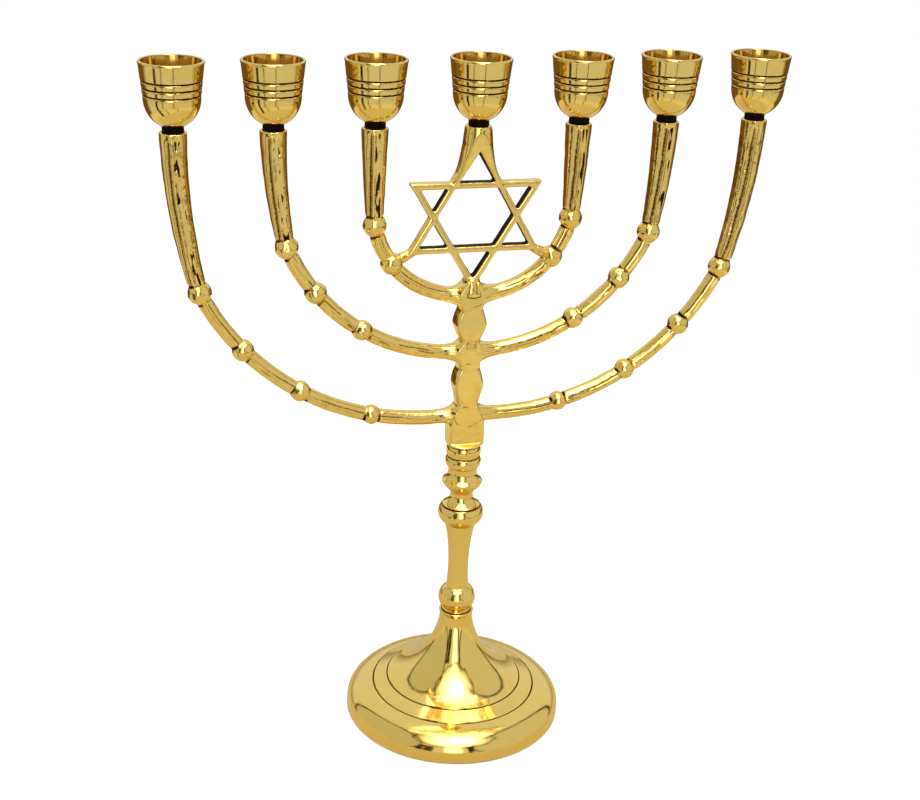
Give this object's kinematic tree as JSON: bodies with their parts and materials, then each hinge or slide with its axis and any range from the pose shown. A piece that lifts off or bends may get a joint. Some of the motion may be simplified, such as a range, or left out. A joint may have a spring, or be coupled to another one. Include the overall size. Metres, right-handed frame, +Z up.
{
  "type": "menorah",
  "caption": "Brass branched candle holder with a star over its spine, candle cups that unscrew and a round stepped foot.",
  "frame": {"origin": "centre of the foot's underside", "axes": "+Z up along the stem, branches spread along X, +Y away from the face that is seen"},
  "size_m": [0.2674, 0.0976, 0.3],
  "materials": {
    "polished_brass": "polished",
    "cast_brass": "cast and polished, dark in the hollows",
    "stud_brass": "turned, dull",
    "zinc_steel": "zinc plated"
  },
  "bodies": {
    "base": {"foot": "polished_brass", "foot_bolt": "zinc_steel", "foot_washer": "zinc_steel", "stem": "polished_brass", "stem_stud": "zinc_steel", "spine": "cast_brass", "star": "cast_brass", "arm_outer_left": "cast_brass", "arm_outer_right": "cast_brass", "arm_middle_left": "cast_brass", "arm_middle_right": "cast_brass", "arm_inner_left": "cast_brass", "arm_inner_right": "cast_brass"},
    "stud_outer_left": {"stud_outer_left": "stud_brass"},
    "cup_outer_left": {"cup_outer_left": "polished_brass"},
    "stud_middle_left": {"stud_middle_left": "stud_brass"},
    "cup_middle_left": {"cup_middle_left": "polished_brass"},
    "stud_inner_left": {"stud_inner_left": "stud_brass"},
    "cup_inner_left": {"cup_inner_left": "polished_brass"},
    "stud_centre": {"stud_centre": "stud_brass"},
    "cup_centre": {"cup_centre": "polished_brass"},
    "stud_inner_right": {"stud_inner_right": "stud_brass"},
    "cup_inner_right": {"cup_inner_right": "polished_brass"},
    "stud_middle_right": {"stud_middle_right": "stud_brass"},
    "cup_middle_right": {"cup_middle_right": "polished_brass"},
    "stud_outer_right": {"stud_outer_right": "stud_brass"},
    "cup_outer_right": {"cup_outer_right": "polished_brass"}
  },
  "joints": [
    {"name": "unscrew_outer_left", "type": "hinge", "parent": "base", "child": "stud_outer_left", "pos_m": [-0.1212, 0, 0.273], "axis": [0, 0, 1], "range_deg": [0, 2160]},
    {"name": "rise_outer_left", "type": "slide", "parent": "stud_outer_left", "child": "cup_outer_left", "axis": [0, 0, 1], "range_m": [0, 0.0049]},
    {"name": "unscrew_middle_left", "type": "hinge", "parent": "base", "child": "stud_middle_left", "pos_m": [-0.0828, 0, 0.273], "axis": [0, 0, 1], "range_deg": [0, 2160]},
    {"name": "rise_middle_left", "type": "slide", "parent": "stud_middle_left", "child": "cup_middle_left", "axis": [0, 0, 1], "range_m": [0, 0.0049]},
    {"name": "unscrew_inner_left", "type": "hinge", "parent": "base", "child": "stud_inner_left", "pos_m": [-0.0425, 0, 0.273], "axis": [0, 0, 1], "range_deg": [0, 2160]},
    {"name": "rise_inner_left", "type": "slide", "parent": "stud_inner_left", "child": "cup_inner_left", "axis": [0, 0, 1], "range_m": [0, 0.0049]},
    {"name": "unscrew_centre", "type": "hinge", "parent": "base", "child": "stud_centre", "pos_m": [0, 0, 0.273], "axis": [0, 0, 1], "range_deg": [0, 2160]},
    {"name": "rise_centre", "type": "slide", "parent": "stud_centre", "child": "cup_centre", "axis": [0, 0, 1], "range_m": [0, 0.0049]},
    {"name": "unscrew_inner_right", "type": "hinge", "parent": "base", "child": "stud_inner_right", "pos_m": [0.0427, 0, 0.273], "axis": [0, 0, 1], "range_deg": [0, 2160]},
    {"name": "rise_inner_right", "type": "slide", "parent": "stud_inner_right", "child": "cup_inner_right", "axis": [0, 0, 1], "range_m": [0, 0.0049]},
    {"name": "unscrew_middle_right", "type": "hinge", "parent": "base", "child": "stud_middle_right", "pos_m": [0.0812, 0, 0.273], "axis": [0, 0, 1], "range_deg": [0, 2160]},
    {"name": "rise_middle_right", "type": "slide", "parent": "stud_middle_right", "child": "cup_middle_right", "axis": [0, 0, 1], "range_m": [0, 0.0049]},
    {"name": "unscrew_outer_right", "type": "hinge", "parent": "base", "child": "stud_outer_right", "pos_m": [0.1212, 0, 0.273], "axis": [0, 0, 1], "range_deg": [0, 2160]},
    {"name": "rise_outer_right", "type": "slide", "parent": "stud_outer_right", "child": "cup_outer_right", "axis": [0, 0, 1], "range_m": [0, 0.0049]}
  ],
  "couplings": [
    {"joint": "rise_outer_left", "follows": "unscrew_outer_left", "m_per_rad": 0.00012732},
    {"joint": "rise_middle_left", "follows": "unscrew_middle_left", "m_per_rad": 0.00012732},
    {"joint": "rise_inner_left", "follows": "unscrew_inner_left", "m_per_rad": 0.00012732},
    {"joint": "rise_centre", "follows": "unscrew_centre", "m_per_rad": 0.00012732},
    {"joint": "rise_inner_right", "follows": "unscrew_inner_right", "m_per_rad": 0.00012732},
    {"joint": "rise_middle_right", "follows": "unscrew_middle_right", "m_per_rad": 0.00012732},
    {"joint": "rise_outer_right", "follows": "unscrew_outer_right", "m_per_rad": 0.00012732}
  ]
}
